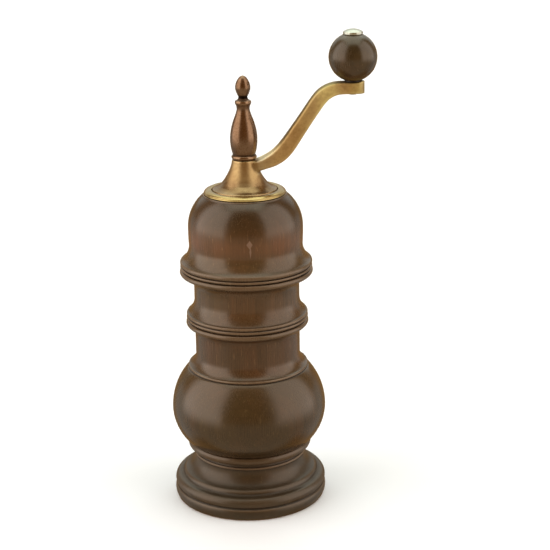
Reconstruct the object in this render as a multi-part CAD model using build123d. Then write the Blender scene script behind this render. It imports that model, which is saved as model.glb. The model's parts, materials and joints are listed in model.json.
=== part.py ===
from build123d import *
import math
import os

# Hand-crank coffee mill with a turned wooden body, standing on its foot.
# Millimetres. The origin is the centre of the underside, on the spindle axis. +Z is up,
# and the crank arm points along +X at rest.

# ---------------------------------------------------------------- driving dimensions
RUN = 0.05                 # radial running clearance of every turning fit

# turned body
FOOT_R = 35.0              # widest radius of the foot
WAIST_R = 25.4
BALL_R = 35.3              # equator of the ball
BALL_Z = 43.3
BALL_FLOOR_Z = 28.3        # where the ball meets the foot ring
BALL_CEILING_Z = 62.3      # where the ball meets its neck bead
NECK_R = 23.8
DOME_R = 25.75
DOME_ARC_R = 19.7          # radius of the shoulder of the dome
DOME_ARC_Z = 128.5
BODY_TOP_Z = 143.5

# bores in the body
RECESS_R = 24.0
RECESS_Z = 6.2
FLANGE_SEAT_R = 23.7
FLANGE_SEAT_Z = 8.0
WELL_R = 19.4
WELL_Z = 36.0
HOPPER_R = 15.5

# mouth ring and top bridge
RING_R = 18.3
RING_TOP_Z = 145.45
SPIGOT_R = 15.45
SPIGOT_Z = 138.0
MOUTH_R = 13.2
SEAT_R = 14.75
SEAT_Z = 144.5
TOP_BRIDGE_WIDTH = 6.4
TOP_BRIDGE_Z = (141.0, 142.8)
TOP_TAB_Z = 138.4
TOP_TAB_THICKNESS = 1.4
TOP_EYE_R = 6.8
RIVET_R = 0.9
RIVET_Z = 139.7
RIVET_HEAD_R = 1.26
RIVET_HEAD_X = (0.8, 0.1)  # how far inside the tab the head starts and ends

# spindle line
SQUARE = 4.5               # spindle square, across flats
SQUARE_SLACK = 0.1         # square bore minus square, across flats
JOURNAL_R = 3.25
JOURNAL_TOP_Z = 39.0
SPINDLE_FOOT_Z = 7.2
SQUARE_TOP_Z = 157.0
THREAD_R = 2.0
THREAD_TOP_Z = 172.0

# drive bush in the top bridge
DRIVE_BUSH_R = 4.6
DRIVE_BUSH_FLANGE_R = 6.4
DRIVE_BUSH_Z = (139.2, 144.0)
CLIP_Z = (140.1, 140.9)
CLIP_R = 6.0
CLIP_GAP = 3.2

# burrs and their housing
FLANGE_R = 23.6
FLANGE_Z = (6.4, FLANGE_SEAT_Z)
SLEEVE_R = 19.2
SLEEVE_BORE_R = 17.0
SLEEVE_TOP_Z = 33.5
LIP_R = 15.4
BURR_Z = 10.6              # underside of both burrs
BURR_THROAT_Z = 17.6       # where coarse teeth give way to fine ones
OUTER_BURR_R = 16.95
OUTER_BURR_TOP_Z = 26.0
OUTER_FUNNEL_R = 15.2
OUTER_THROAT_R = 11.6
OUTER_MOUTH_R = 14.6
INNER_BURR_TOP_Z = 24.0
INNER_TOP_R = 6.2
GRIND_GAP = 0.7            # between the burrs, measured level, at rest
FINE_TEETH = 30
COARSE_TEETH = 6
FUNNEL_TEETH = 10
FINE_GROOVE = (8, 0.6)     # skew in degrees, radius
FUNNEL_GROOVE = (20, 1.1)
COARSE_GROOVE = (50, 1.8)
SCREW_COUNT = 4
SCREW_CIRCLE_R = 21.4
SCREW_SHANK_R = 1.2
SCREW_HEAD_R = 1.8
SCREW_LENGTH = 12.0
SCREW_HEAD_T = 1.1
SCREW_POINT = 1.5
SCREW_SLOT = (0.5, 0.6)    # width and depth
SCREW_SLACK = 0.04
GRUB_COUNT = 3
GRUB_R = 1.25
GRUB_Z = 21.0
GRUB_BITE = 0.8            # how far a grub screw enters the outer burr
GRUB_SLOT = (0.4, 0.8)     # width and depth

# burr bridge, bush, spring
BURR_BRIDGE_INNER_R = 15.0
BURR_BRIDGE_ARM = 4.5
BURR_EYE_R = 7.4
BURR_BUSH_R = 5.0
BURR_BUSH_FLANGE_R = 6.6
BURR_BUSH_Z = (32.4, 37.5)
SPRING_WIRE_R = 0.5
SPRING_R = 4.7
SPRING_TURNS = 4
SPRING_WASHER_R = 6.0
SPRING_WASHER_T = 0.8
SPRING_END_GAP = 0.03      # between the wire and the face that it bears on
CROSS_PIN_R = 1.0
CROSS_PIN_Z = 20.6
CROSS_PIN_LENGTH = 13.0
BURR_WASHER_R = 5.5
BURR_WASHER_T = 0.7
BURR_NUT_FLATS = 10.0
BURR_NUT_T = 2.3

# crank casting
BELL_R = 14.5
BELL_FOOT_Z = 144.8
BOSS_R = 5.0
HUB_R = 5.45
HUB_TOP_Z = 158.8
ARM_ROOT_Z = 155.9
ARM_TIP_Z = 189.9
ARM_BEND_X = (13.3, 36.3)  # corners of the arm's centre line, before they are rounded
ARM_BEND_R = (22.0, 13.3)
ARM_TIP_X = 52.9
ARM_TIP_WIDTH = 6.4
ARM_TIP_THICKNESS = 5.3
# place along the centre line, 0 to 1, then the width across and the thickness in the arm's plane
ARM_SECTIONS = (
    (0.00, 9.2, 4.6),
    (0.11, 9.0, 4.8),
    (0.19, 8.4, 5.9),
    (0.27, 7.6, 6.8),
    (0.38, 6.8, 6.7),
    (0.50, 6.5, 6.35),
    (0.62, 6.4, 6.3),
    (0.72, 6.4, 6.2),
    (0.80, ARM_TIP_WIDTH, 5.6),
    (0.86, ARM_TIP_WIDTH, ARM_TIP_THICKNESS),
    (0.93, ARM_TIP_WIDTH, ARM_TIP_THICKNESS),
    (1.00, ARM_TIP_WIDTH, ARM_TIP_THICKNESS),
)
ARM_ROUND = 0.15           # corner radius as a share of the thickness
ARM_FILLET = 0.8           # where the arm runs into the bell
FINIAL_SEAT_R = 6.0        # flat seat cut into the root of the arm

# knob
KNOB_X = 47.8
KNOB_R = 10.6
KNOB_Z = 203.3
KNOB_FLAT_Z = (193.4, 212.9)
AXLE_R = 2.0
AXLE_TAIL_R = 1.8
AXLE_HEAD_R = 4.3
AXLE_HEAD_Z = (213.0, 214.0, 215.3)  # underside, rim and crown of the domed head
KNOB_WASHER_R = 3.6
KNOB_WASHER_T = 0.8
TAIL_HEAD_R = 2.3
TAIL_HEAD_T = 0.6
SEAT_MARGIN = (0.4, 0.2)   # flats cut round the knob washer and round the tail head

# finial nut
FINIAL_WASHER_T = 0.3
FINIAL_WASHER_R = 5.0
FINIAL_TOP_Z = 195.8
FINIAL_HOLE_Z = 174.0


# ---------------------------------------------------------------- drawing helpers
def profile(start, *steps):
    """Closed outline in the XZ plane: (r, z) is a straight run, (via_r, via_z, r, z) an arc."""
    edges = []
    here = start
    for step in steps + (start,):
        there = step[-2:]
        if len(step) == 4:
            edges.append(ThreePointArc(here, step[:2], there))
        else:
            edges.append(Line(here, there))
        here = there
    return make_face(edges)


def turned(face):
    """Solid of revolution about Z of a face drawn in radius and height."""
    return revolve(Plane.XZ * face, Axis.Z)


def disc(radius, low, high):
    """Upright cylinder about Z from one height to another."""
    return Pos(0, 0, low) * extrude(Circle(radius), high - low)


def washer(outer, inner, low, high):
    """Flat ring about Z."""
    return Pos(0, 0, low) * extrude(Circle(outer) - Circle(inner), high - low)


def block(x_range, y_range, z_range):
    """Box between two corners."""
    spans = (x_range, y_range, z_range)
    sizes = [high - low for low, high in spans]
    middle = [(high + low) / 2 for low, high in spans]
    return Pos(*middle) * Box(*sizes)


def square_bore(low, high):
    """Square hole that the spindle slides in."""
    side = SQUARE + SQUARE_SLACK
    return Pos(0, 0, low) * extrude(Rectangle(side, side), high - low)


def rod(start, end, radius):
    """Round bar between two points."""
    along = Vector(*end) - Vector(*start)
    return extrude(Plane(origin=start, z_dir=along) * Circle(radius), along.length)


def around(count, shape, first=0.0):
    """Copies of a shape spread evenly about Z."""
    step = 360.0 / count
    return [Rot(0, 0, first + index * step) * shape for index in range(count)]


def arc_point(centre_r, centre_z, radius, z):
    """Point at height z on the outer side of a circle about (centre_r, centre_z)."""
    return (centre_r + math.sqrt(radius ** 2 - (z - centre_z) ** 2), z)


def cap_point(edge_r, rise):
    """Point halfway out on a spherical cap: its radius, and its height above the cap's edge."""
    sphere_r = (edge_r ** 2 + rise ** 2) / (2 * rise)
    middle_r = edge_r / 2
    return middle_r, math.sqrt(sphere_r ** 2 - middle_r ** 2) - sphere_r + rise


# ---------------------------------------------------------------- wooden body
def mill_body():
    dome_centre = DOME_R - DOME_ARC_R
    dome_middle = arc_point(dome_centre, DOME_ARC_Z, DOME_ARC_R, 137.0)
    dome_edge = arc_point(dome_centre, DOME_ARC_Z, DOME_ARC_R, BODY_TOP_Z - 0.4)
    face = profile(
        (RECESS_R, 0),
        # foot: two rolls with a groove between them, then a lip and a cove to the waist
        (33.8, 0),
        (34.3, 0.2, 34.5, 0.8),
        (FOOT_R + 0.1, 2.4, 34.8, 5.1),
        (34.1, 5.7),
        (FOOT_R, 7.6, 32.3, 10.5),
        (31.4, 10.9),
        (31.0, 11.3),
        (30.6, 12.3, 29.4, 13.1),
        (26.6, 15.4, WAIST_R, 19.2),
        (WAIST_R, 20.6),
        (26.0, 21.3, WAIST_R, 22.0),
        (25.2, 23.3),
        (27.6, 24.0),
        (28.5, 25.7, 27.8, 27.4),
        (27.2, 27.9),
        (28.0, BALL_FLOOR_Z),
        (29.2, BALL_FLOOR_Z + 0.1),
        # ball: two arcs that meet upright at its equator
        (33.9, 35.8, BALL_R, BALL_Z),
        (33.45, 53.2, 27.8, BALL_CEILING_Z),
        (26.9, 62.8),
        (27.4, 63.4, 26.8, 64.0),
        (24.7, 66.0, NECK_R, 68.9),
        (NECK_R, 79.4),
        # lower ring
        (24.4, 81.5, 26.6, 82.9),
        (27.8, 84.2, 27.2, 85.3),
        (26.4, 85.7),
        (27.2, 86.0),
        (27.6, 86.7, 27.2, 87.3),
        (26.8, 87.6),
        (27.4, 87.9),
        (27.4, 88.6, 26.7, 89.1),
        (24.75, 91.7, NECK_R, 95.0),
        (NECK_R, 101.2),
        # upper ring
        (24.9, 104.5, 28.7, 106.7),
        (30.0, 107.9, 29.4, 109.1),
        (28.5, 109.4),
        (29.3, 109.7),
        (29.75, 110.3, 29.3, 110.9),
        (28.8, 111.15),
        (29.4, 111.4),
        (29.75, 112.3, 29.1, 113.3),
        (28.3, 113.8),
        (26.35, 116.6, 25.5, 120.0),
        # dome
        (25.7, 124.2, DOME_R, DOME_ARC_Z),
        (*dome_middle, *dome_edge),
        (18.8, BODY_TOP_Z - 0.1, 18.5, BODY_TOP_Z),
        # bores, from the hopper down
        (HOPPER_R, BODY_TOP_Z),
        (HOPPER_R, WELL_Z),
        (WELL_R, WELL_Z),
        (WELL_R, FLANGE_SEAT_Z),
        (FLANGE_SEAT_R, FLANGE_SEAT_Z),
        (FLANGE_SEAT_R, RECESS_Z),
        (RECESS_R, RECESS_Z),
    )
    pilot_hole = disc(SCREW_SHANK_R, FLANGE_SEAT_Z, FLANGE_SEAT_Z + SCREW_LENGTH)
    pilot = Pos(SCREW_CIRCLE_R, 0, 0) * pilot_hole
    return turned(face) - around(SCREW_COUNT, pilot, 45)


# ---------------------------------------------------------------- mouth of the hopper
def mouth_ring():
    face = profile(
        (MOUTH_R, SPIGOT_Z),
        (SPIGOT_R, SPIGOT_Z),
        (SPIGOT_R, BODY_TOP_Z),
        (RING_R - 0.5, BODY_TOP_Z),
        (RING_R - 0.4, BODY_TOP_Z + 0.15),
        (RING_R, BODY_TOP_Z + 0.5, RING_R - 0.25, BODY_TOP_Z + 0.85),
        (RING_R - 0.34, BODY_TOP_Z + 0.95),
        (RING_R - 0.2, BODY_TOP_Z + 1.1),
        (RING_R - 0.48, RING_TOP_Z - 0.25, RING_R - 1.1, RING_TOP_Z),
        (SEAT_R + 0.4, RING_TOP_Z - 0.2),
        (SEAT_R, RING_TOP_Z - 0.4),
        (SEAT_R, SEAT_Z),
        (MOUTH_R, SEAT_Z),
    )
    hole = rod((MOUTH_R - 1, 0, RIVET_Z), (SPIGOT_R + 1, 0, RIVET_Z), RIVET_R)
    return turned(face) - around(2, hole)


def top_bridge():
    low, high = TOP_BRIDGE_Z
    half = TOP_BRIDGE_WIDTH / 2
    strip = block((-MOUTH_R, MOUTH_R), (-half, half), (low, high)) & disc(MOUTH_R, low, high)
    wall = washer(MOUTH_R, MOUTH_R - TOP_TAB_THICKNESS, TOP_TAB_Z, high)
    tabs = wall & block((-MOUTH_R, MOUTH_R), (-half, half), (TOP_TAB_Z, high))
    bridge = strip + tabs + disc(TOP_EYE_R, low, high) - disc(DRIVE_BUSH_R + RUN, low, high)
    hole = rod((MOUTH_R - 3, 0, RIVET_Z), (MOUTH_R + 1, 0, RIVET_Z), RIVET_R)
    return bridge - around(2, hole)


def bridge_rivets():
    inner = MOUTH_R - TOP_TAB_THICKNESS
    start = (inner - RIVET_HEAD_X[0], 0, RIVET_Z)
    shank = rod(start, (SPIGOT_R, 0, RIVET_Z), RIVET_R)
    head = rod(start, (inner - RIVET_HEAD_X[1], 0, RIVET_Z), RIVET_HEAD_R)
    return Compound(around(2, shank + head))


def drive_bush():
    low, high = DRIVE_BUSH_Z
    shoulder = TOP_BRIDGE_Z[1]
    bush = disc(DRIVE_BUSH_R, low, high) + disc(DRIVE_BUSH_FLANGE_R, shoulder, high)
    return bush - square_bore(low, high)


def bush_clip():
    gap = block((0, CLIP_R + 1), (-CLIP_GAP / 2, CLIP_GAP / 2), CLIP_Z)
    return washer(CLIP_R, DRIVE_BUSH_R, *CLIP_Z) - gap


# ---------------------------------------------------------------- grinder
def burr_housing():
    low, high = FLANGE_Z
    face = profile(
        (LIP_R, low),
        (FLANGE_R, low),
        (FLANGE_R, high),
        (SLEEVE_R, high),
        (SLEEVE_R, SLEEVE_TOP_Z),
        (SLEEVE_BORE_R, SLEEVE_TOP_Z),
        (SLEEVE_BORE_R, BURR_Z),
        (LIP_R, BURR_Z),
    )
    hole = Pos(SCREW_CIRCLE_R, 0, 0) * countersunk_screw(0)
    grub_hole = rod((SLEEVE_BORE_R - 1, 0, GRUB_Z), (SLEEVE_R + 1, 0, GRUB_Z), GRUB_R)
    return turned(face) - around(SCREW_COUNT, hole, 45) - around(GRUB_COUNT, grub_hole)


def countersunk_screw(slack):
    """Wood screw driven upwards through the flange, head down, thinner by the slack."""
    low = FLANGE_Z[0]
    shank = SCREW_SHANK_R - slack
    return turned(profile(
        (0, low),
        (SCREW_HEAD_R - slack, low),
        (shank, low + SCREW_HEAD_T),
        (shank, low + SCREW_LENGTH - SCREW_POINT),
        (0, low + SCREW_LENGTH),
    ))


def housing_screws():
    low = FLANGE_Z[0]
    width, depth = SCREW_SLOT
    slot = block((-SCREW_HEAD_R, SCREW_HEAD_R), (-width / 2, width / 2), (low, low + depth))
    screw = Pos(SCREW_CIRCLE_R, 0, 0) * (countersunk_screw(SCREW_SLACK) - slot)
    return Compound(around(SCREW_COUNT, screw, 45))


def grub_screws():
    width, depth = GRUB_SLOT
    height = (GRUB_Z - width / 2, GRUB_Z + width / 2)
    slot = block((SLEEVE_R - depth, SLEEVE_R), (-GRUB_R, GRUB_R), height)
    return Compound(around(GRUB_COUNT, grub_blank() - slot))


def grub_blank():
    """Space that one grub screw fills, from its dimple in the burr to the outside of the sleeve."""
    return rod((OUTER_BURR_R - GRUB_BITE, 0, GRUB_Z), (SLEEVE_R, 0, GRUB_Z), GRUB_R)


def grooves(count, low, high, skew, radius):
    """Round-bottomed grooves along a cone between two (r, z) points, each turned by skew degrees."""
    turn = math.radians(skew)
    start = (low[0], 0, low[1])
    end = (high[0] * math.cos(turn), high[0] * math.sin(turn), high[1])
    return around(count, rod(start, end, radius))


def outer_burr():
    face = profile(
        (OUTER_MOUTH_R, BURR_Z),
        (OUTER_BURR_R, BURR_Z),
        (OUTER_BURR_R, OUTER_BURR_TOP_Z),
        (OUTER_FUNNEL_R, OUTER_BURR_TOP_Z),
        (OUTER_THROAT_R, BURR_THROAT_Z),
    )
    slope = (OUTER_MOUTH_R - OUTER_THROAT_R) / (BURR_THROAT_Z - BURR_Z)
    fine_low = (OUTER_MOUTH_R + slope, BURR_Z - 1)
    fine_high = (OUTER_THROAT_R, BURR_THROAT_Z)
    coarse_high = (OUTER_FUNNEL_R + 0.4, OUTER_BURR_TOP_Z + 1)
    burr = turned(face) - grooves(FINE_TEETH, fine_low, fine_high, *FINE_GROOVE)
    burr = burr - grooves(FUNNEL_TEETH, fine_high, coarse_high, *FUNNEL_GROOVE)
    return burr - around(GRUB_COUNT, grub_blank())


def inner_burr():
    foot_r = OUTER_MOUTH_R - GRIND_GAP
    throat_r = OUTER_THROAT_R - GRIND_GAP
    face = profile(
        (JOURNAL_R, BURR_Z),
        (foot_r, BURR_Z),
        (throat_r, BURR_THROAT_Z),
        (INNER_TOP_R, INNER_BURR_TOP_Z),
        (JOURNAL_R, INNER_BURR_TOP_Z),
    )
    slope = (foot_r - throat_r) / (BURR_THROAT_Z - BURR_Z)
    fine_low = (foot_r + slope, BURR_Z - 1)
    fine_high = (throat_r, BURR_THROAT_Z)
    coarse_high = (INNER_TOP_R - 0.2, INNER_BURR_TOP_Z + 0.5)
    skew, radius = FINE_GROOVE
    burr = turned(face) - grooves(FINE_TEETH, fine_low, fine_high, -skew, radius)
    burr = burr - grooves(COARSE_TEETH, fine_high, coarse_high, *COARSE_GROOVE)
    return burr - cross_pin()


def cross_pin():
    half = CROSS_PIN_LENGTH / 2
    return rod((0, -half, CROSS_PIN_Z), (0, half, CROSS_PIN_Z), CROSS_PIN_R)


def spindle():
    journal = disc(JOURNAL_R, SPINDLE_FOOT_Z, JOURNAL_TOP_Z)
    square = Pos(0, 0, JOURNAL_TOP_Z) * extrude(Rectangle(SQUARE, SQUARE), SQUARE_TOP_Z - JOURNAL_TOP_Z)
    thread = disc(THREAD_R, SQUARE_TOP_Z, THREAD_TOP_Z)
    return journal + square + thread - cross_pin()


def spring_washer():
    top = INNER_BURR_TOP_Z + SPRING_WASHER_T
    return washer(SPRING_WASHER_R, JOURNAL_R, INNER_BURR_TOP_Z, top)


def burr_washer():
    return washer(BURR_WASHER_R, JOURNAL_R, BURR_Z - BURR_WASHER_T, BURR_Z)


def burr_nut():
    top = BURR_Z - BURR_WASHER_T
    hexagon = RegularPolygon(BURR_NUT_FLATS / 2, 6, major_radius=False) - Circle(JOURNAL_R)
    return Pos(0, 0, top - BURR_NUT_T) * extrude(hexagon, BURR_NUT_T)


def burr_spring():
    """Coil spring held between the spring washer and the flange of the burr bush."""
    clear = SPRING_WIRE_R + SPRING_END_GAP
    low = INNER_BURR_TOP_Z + SPRING_WASHER_T + clear
    high = BURR_BUSH_Z[0] - clear
    coil = Pos(0, 0, low) * Helix((high - low) / SPRING_TURNS, high - low, SPRING_R)
    wire = Plane(origin=coil @ 0, z_dir=coil % 0) * Circle(SPRING_WIRE_R)
    return sweep(wire, path=coil, is_frenet=True)


def burr_bush():
    low, high = BURR_BUSH_Z
    bush = disc(BURR_BUSH_R, low, high) + disc(BURR_BUSH_FLANGE_R, low, SLEEVE_TOP_Z)
    return bush - disc(JOURNAL_R + RUN, low, high)


def burr_bridge():
    low, high = SLEEVE_TOP_Z, WELL_Z
    arm_half = BURR_BRIDGE_ARM / 2
    arm = block((0, SLEEVE_R - 1), (-arm_half, arm_half), (low, high))
    bridge = washer(SLEEVE_R, BURR_BRIDGE_INNER_R, low, high) + disc(BURR_EYE_R, low, high)
    for copy in around(3, arm, 90):
        bridge = bridge + copy
    return bridge - disc(BURR_BUSH_R, low, high)


# ---------------------------------------------------------------- crank
def bell():
    """Hollow bell-shaped hub with a boss inside it that stands on the drive bush."""
    foot_edge = (13.75, 145.9)
    hub_edge = (HUB_R, HUB_TOP_Z - 0.4)
    flare = Spline(foot_edge, (9.6, 148.95), (7.35, 152.6), hub_edge,
                   tangents=[(-1, 0.3), (-0.12, 1)])
    outline = [
        Polyline((0, DRIVE_BUSH_Z[1]), (BOSS_R, DRIVE_BUSH_Z[1]), (BOSS_R, 149.4), (6.4, 149.4)),
        ThreePointArc((6.4, 149.4), (8.9, 146.7), (12.9, BELL_FOOT_Z)),
        Polyline((12.9, BELL_FOOT_Z), (BELL_R, BELL_FOOT_Z), (BELL_R, 145.4)),
        ThreePointArc((BELL_R, 145.4), (14.28, 145.72), foot_edge),
        flare,
        ThreePointArc(hub_edge, (HUB_R - 0.12, HUB_TOP_Z - 0.12), (HUB_R - 0.4, HUB_TOP_Z)),
        Polyline((HUB_R - 0.4, HUB_TOP_Z), (0, HUB_TOP_Z), (0, DRIVE_BUSH_Z[1])),
    ]
    return turned(make_face(outline))


def arm():
    """S-shaped arm, lofted through rounded sections square to its centre line."""
    corners = (
        (0, 0, ARM_ROOT_Z),
        (ARM_BEND_X[0], 0, ARM_ROOT_Z),
        (ARM_BEND_X[1], 0, ARM_TIP_Z),
        (ARM_TIP_X + 1, 0, ARM_TIP_Z),
    )
    centre = FilletPolyline(*corners, radius=list(ARM_BEND_R))
    sections = []
    for place, width, thickness in ARM_SECTIONS:
        plane = Plane(origin=centre @ place, x_dir=(0, 1, 0), z_dir=centre % place)
        sections.append(plane * RectangleRounded(width, thickness, ARM_ROUND * thickness))
    bar = loft(sections)
    tip_r = ARM_TIP_WIDTH / 2
    tip_x = ARM_TIP_X - tip_r
    height = (ARM_ROOT_Z - 10, ARM_TIP_Z + 10)
    plan = block((-1, tip_x), (-10, 10), height) + Pos(tip_x, 0, 0) * disc(tip_r, *height)
    return bar & plan


def crank_casting():
    hub = bell()
    bar = arm()
    casting = hub + bar
    casting = fillet(new_edges(hub, bar, combined=casting), ARM_FILLET)
    bore = square_bore(DRIVE_BUSH_Z[1] - 1, HUB_TOP_Z + 1)
    finial_seat = disc(FINIAL_SEAT_R, HUB_TOP_Z, HUB_TOP_Z + 10)
    half = ARM_TIP_THICKNESS / 2
    tail_hole = disc(AXLE_TAIL_R, ARM_TIP_Z - 5, ARM_TIP_Z + 5)
    washer_seat = disc(KNOB_WASHER_R + SEAT_MARGIN[0], ARM_TIP_Z + half, ARM_TIP_Z + 5)
    tail_seat = disc(TAIL_HEAD_R + SEAT_MARGIN[1], ARM_TIP_Z - 5, ARM_TIP_Z - half)
    return casting - bore - finial_seat - Pos(KNOB_X, 0, 0) * (tail_hole + washer_seat + tail_seat)


# ---------------------------------------------------------------- knob
def knob_ball():
    low, high = KNOB_FLAT_Z
    ball = Pos(0, 0, KNOB_Z) * Sphere(KNOB_R)
    ball = ball & disc(KNOB_R + 1, low, high)
    return Pos(KNOB_X, 0, 0) * (ball - disc(AXLE_R + RUN, low, high))


def knob_axle():
    under, rim, crown = AXLE_HEAD_Z
    arm_top = ARM_TIP_Z + ARM_TIP_THICKNESS / 2
    arm_under = ARM_TIP_Z - ARM_TIP_THICKNESS / 2
    tail_r, tail_drop = cap_point(TAIL_HEAD_R, TAIL_HEAD_T)
    crown_r, crown_rise = cap_point(AXLE_HEAD_R, crown - rim)
    face = profile(
        (0, arm_under - TAIL_HEAD_T),
        (tail_r, arm_under - tail_drop, TAIL_HEAD_R, arm_under),
        (AXLE_TAIL_R, arm_under),
        (AXLE_TAIL_R, arm_top),
        (AXLE_R, arm_top),
        (AXLE_R, under),
        (AXLE_HEAD_R, under),
        (AXLE_HEAD_R, rim),
        (crown_r, rim + crown_rise, 0, crown),
    )
    return Pos(KNOB_X, 0, 0) * turned(face)


def knob_washer():
    low = ARM_TIP_Z + ARM_TIP_THICKNESS / 2
    return Pos(KNOB_X, 0, 0) * washer(KNOB_WASHER_R, AXLE_R, low, low + KNOB_WASHER_T)


# ---------------------------------------------------------------- finial
def finial_washer():
    return washer(FINIAL_WASHER_R, THREAD_R + 0.4, HUB_TOP_Z, HUB_TOP_Z + FINIAL_WASHER_T)


def finial_nut():
    foot = HUB_TOP_Z + FINIAL_WASHER_T
    waist = (5.05, 161.4)
    throat = (2.85, 180.6)
    collar = (3.2, 183.0)
    neck = (2.0, 186.6)
    outline = [
        Polyline((0, foot), (5.2, foot)),
        ThreePointArc((5.2, foot), (5.6, 159.9), (5.25, 160.7)),
        ThreePointArc((5.25, 160.7), (5.0, 161.0), waist),
        Spline(waist, (6.02, 168.4), (4.55, 176.0), throat, tangents=[(0.5, 1), (0.05, 1)]),
        ThreePointArc(throat, (2.92, 182.0), collar),
        ThreePointArc(collar, (3.6, 184.0), (3.3, 184.9)),
        ThreePointArc((3.3, 184.9), (2.3, 185.5), neck),
        Spline(neck, (3.34, 189.9), (2.6, 193.5), (0, FINIAL_TOP_Z), tangents=[(0.5, 1), (-1, 0)]),
        Line((0, FINIAL_TOP_Z), (0, foot)),
    ]
    return turned(make_face(outline)) - disc(THREAD_R + RUN, foot, FINIAL_HOLE_Z)


# ---------------------------------------------------------------- write one file per piece
PIECES = (
    mill_body, mouth_ring, top_bridge, bridge_rivets, drive_bush, bush_clip,
    burr_housing, housing_screws, grub_screws, outer_burr, inner_burr, cross_pin,
    spindle, spring_washer, burr_washer, burr_nut, burr_spring, burr_bush, burr_bridge,
    crank_casting, knob_ball, knob_axle, knob_washer, finial_washer, finial_nut,
)

os.makedirs("parts", exist_ok=True)
for piece in PIECES:
    export_step(piece(), f"parts/{piece.__name__}.step")
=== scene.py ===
import json
import math

import bmesh
import bpy
import numpy as np
from mathutils import Matrix, Vector, noise


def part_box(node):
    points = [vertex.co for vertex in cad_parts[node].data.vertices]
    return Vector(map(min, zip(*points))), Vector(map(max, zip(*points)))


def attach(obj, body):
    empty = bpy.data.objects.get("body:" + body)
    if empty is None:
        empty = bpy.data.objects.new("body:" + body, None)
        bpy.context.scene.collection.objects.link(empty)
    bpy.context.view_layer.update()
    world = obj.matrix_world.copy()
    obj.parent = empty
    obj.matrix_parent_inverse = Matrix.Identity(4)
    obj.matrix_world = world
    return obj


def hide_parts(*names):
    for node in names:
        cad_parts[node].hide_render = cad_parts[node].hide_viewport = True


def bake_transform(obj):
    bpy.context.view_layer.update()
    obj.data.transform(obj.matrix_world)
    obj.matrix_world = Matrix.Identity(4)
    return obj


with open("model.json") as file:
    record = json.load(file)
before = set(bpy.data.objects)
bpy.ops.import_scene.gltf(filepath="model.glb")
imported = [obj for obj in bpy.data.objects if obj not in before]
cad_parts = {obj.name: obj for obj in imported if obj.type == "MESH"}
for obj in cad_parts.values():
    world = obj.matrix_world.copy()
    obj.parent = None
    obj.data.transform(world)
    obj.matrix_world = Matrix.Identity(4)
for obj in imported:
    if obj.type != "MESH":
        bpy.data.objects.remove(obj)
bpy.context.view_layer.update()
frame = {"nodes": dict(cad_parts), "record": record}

# Looks of a hand-crank coffee mill. Outlines are drawn in millimetres, as a turner would, and made
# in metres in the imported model's frame: +Z up the spindle, the crank arm along +X.

MM = 0.001
NODES = frame["nodes"]


def node_centre(node):
    """Middle of a CAD node's box, in millimetres."""
    low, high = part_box(node)
    return (low + high) / 2 / MM


def node_span(node, axis):
    """Lowest and highest value of a CAD node along one axis, in millimetres."""
    low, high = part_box(node)
    return low[axis] / MM, high[axis] / MM


# ------------------------------------------------------------------ camera
LENS = 94.3                            # mm on the 36 mm sensor
CAMERA_AT = (12.85, -621.25, 297.76)   # mm
CAMERA_TILT = 17.229                   # degrees below the horizon
CAMERA_ROLL = 0.82                     # degrees, clockwise seen from behind the camera


def make_camera():
    data = bpy.data.cameras.new("camera")
    data.lens = LENS
    data.clip_start = 0.01
    data.clip_end = 50.0
    camera = bpy.data.objects.new("camera", data)
    bpy.context.scene.collection.objects.link(camera)
    turn = Matrix.Rotation(math.radians(90 - CAMERA_TILT), 4, "X")
    roll = Matrix.Rotation(math.radians(-CAMERA_ROLL), 4, "Z")
    camera.matrix_world = Matrix.Translation(Vector(CAMERA_AT) * MM) @ turn @ roll
    bpy.context.scene.camera = camera


# ------------------------------------------------------------------ outlines
STEP = 0.04       # mm between the points of a drawn outline
SOFTENING = 0.11  # mm, how far corners are eased
FULL_TURN = 2 * math.pi


def straight(start, end):
    count = max(2, int(np.linalg.norm(end - start) / STEP))
    share = np.linspace(0, 1, count + 1)[1:, None]
    return start + (end - start) * share


def arc(start, via, end):
    """Points along the circle through three points, after the first one."""
    a, b, c = start, via, end
    d = 2 * (a[0] * (b[1] - c[1]) + b[0] * (c[1] - a[1]) + c[0] * (a[1] - b[1]))
    squares = [p @ p for p in (a, b, c)]
    x = squares[0] * (b[1] - c[1]) + squares[1] * (c[1] - a[1]) + squares[2] * (a[1] - b[1])
    y = squares[0] * (c[0] - b[0]) + squares[1] * (a[0] - c[0]) + squares[2] * (b[0] - a[0])
    centre = np.array([x, y]) / d
    radius = np.linalg.norm(a - centre)
    angles = [math.atan2(*(p - centre)[::-1]) for p in (a, b, c)]
    sweep = (angles[2] - angles[0]) % FULL_TURN
    if (angles[1] - angles[0]) % FULL_TURN > sweep:
        sweep -= FULL_TURN
    count = max(3, int(abs(sweep) * radius / STEP))
    turned = angles[0] + sweep * np.linspace(0, 1, count + 1)[1:]
    return centre + radius * np.stack([np.cos(turned), np.sin(turned)], 1)


def curve(points):
    """Smooth run through several points, after the first one."""
    points = np.array(points, float)
    chords = np.linalg.norm(np.diff(points, axis=0), axis=1)
    at = np.concatenate([[0], np.cumsum(chords)])
    slopes = np.gradient(points, at, axis=0, edge_order=2)
    made = []
    for i, chord in enumerate(chords):
        t = np.linspace(0, 1, max(3, int(chord / STEP)) + 1)[1:, None]
        h = t ** 3
        s = t ** 2
        made.append((2 * h - 3 * s + 1) * points[i] + (h - 2 * s + t) * slopes[i] * chord
                    + (3 * s - 2 * h) * points[i + 1] + (h - s) * slopes[i + 1] * chord)
    return np.concatenate(made)


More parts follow.
